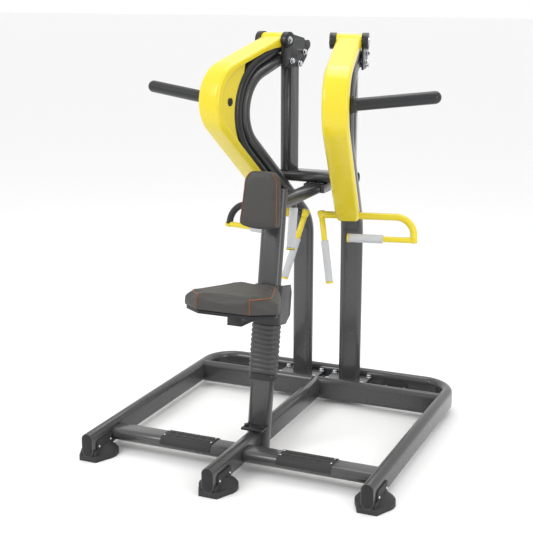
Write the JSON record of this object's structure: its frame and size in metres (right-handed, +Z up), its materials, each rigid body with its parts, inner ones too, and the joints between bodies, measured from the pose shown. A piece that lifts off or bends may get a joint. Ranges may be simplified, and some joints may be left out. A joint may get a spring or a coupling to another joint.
{
  "type": "plate-loaded pulldown machine",
  "caption": "Gym pulldown and row machine with independent plate-loaded swing arms on a bent-tube frame, with a height-adjustable seat and a leaning chest pad.",
  "frame": {"origin": "middle of the footprint, on the floor", "axes": "+Z up; the user sits on the -Y side and faces +Y; +X to the right of a person looking along +Y"},
  "size_m": [1.333, 1.394, 1.671],
  "materials": {
    "frame_paint": "gloss dark grey powder coat",
    "dark_paint": "satin near-black paint",
    "arm_yellow": "gloss yellow paint",
    "foot_rubber": "moulded black rubber",
    "black_plastic": "moulded black plastic",
    "bush_plastic": "self-lubricating bearing plastic",
    "fastener_steel": "zinc-plated steel",
    "grip_rubber": "light grey grip rubber",
    "pad_vinyl": "dark grey upholstery vinyl with a fine grain"
  },
  "bodies": {
    "frame": {"base_loop": "frame_paint", "centre_rail_front": "frame_paint", "centre_rail_rear": "frame_paint", "rear_crossmember": "frame_paint", "front_crossmember_left": "frame_paint", "front_crossmember_right": "frame_paint", "tube_end_caps": "black_plastic", "foot_front_left": "foot_rubber", "foot_front_centre": "foot_rubber", "foot_front_right": "foot_rubber", "foot_rear_left": "foot_rubber", "foot_rear_right": "foot_rubber", "foot_screws": "fastener_steel", "tread_left": "foot_rubber", "tread_right": "foot_rubber", "tread_screws": "fastener_steel", "upright_left": "frame_paint", "upright_right": "frame_paint", "column_seats": "dark_paint", "column_bolts": "fastener_steel", "crossbar": "frame_paint", "mast_left": "frame_paint", "mast_right": "frame_paint", "hub_plate_inner_left": "dark_paint", "hub_plate_outer_left": "dark_paint", "hub_plate_inner_right": "dark_paint", "hub_plate_outer_right": "dark_paint", "hub_bolts": "fastener_steel", "pivot_shaft_left": "fastener_steel", "pivot_shaft_right": "fastener_steel", "arm_bumpers": "foot_rubber", "centre_tube": "frame_paint", "centre_grip": "grip_rubber", "seat_column": "frame_paint", "column_clamp": "dark_paint", "column_cover": "black_plastic", "chest_pad_bracket": "dark_paint", "chest_pad_board": "black_plastic", "chest_pad": "pad_vinyl"},
    "seat": {"seat_carriage": "dark_paint", "seat_board": "black_plastic", "seat_cushion": "pad_vinyl"},
    "pull_pin": {"pull_pin": "fastener_steel"},
    "arm_left": {"arm_tube_left": "dark_paint", "arm_cover_left": "arm_yellow", "pivot_tube_left": "arm_yellow", "pivot_bushes_left": "bush_plastic", "weight_horn_left": "dark_paint", "handle_frame_left": "arm_yellow", "row_grip_left": "grip_rubber", "drop_grip_left": "grip_rubber"},
    "arm_right": {"arm_tube_right": "dark_paint", "arm_cover_right": "arm_yellow", "pivot_tube_right": "arm_yellow", "pivot_bushes_right": "bush_plastic", "weight_horn_right": "dark_paint", "handle_frame_right": "arm_yellow", "row_grip_right": "grip_rubber", "drop_grip_right": "grip_rubber"}
  },
  "joints": [
    {"name": "arm_right_swing", "type": "hinge", "parent": "frame", "child": "arm_right", "pos_m": [0.168, 0.327, 1.637], "axis": [-0.9744, -0.225, 0], "range_deg": [0, 50]},
    {"name": "arm_left_swing", "type": "hinge", "parent": "frame", "child": "arm_left", "pos_m": [-0.168, 0.327, 1.637], "axis": [-0.9744, 0.225, 0], "range_deg": [0, 50]},
    {"name": "seat_slide", "type": "slide", "parent": "frame", "child": "seat", "axis": [0, 0.1736, 0.9848], "range_m": [0, 0.1]},
    {"name": "pin_pull", "type": "slide", "parent": "seat", "child": "pull_pin", "axis": [0, 0.9848, -0.1736], "range_m": [0, 0.014], "stiffness_N_per_m": 800, "springref_m": -0.004}
  ]
}
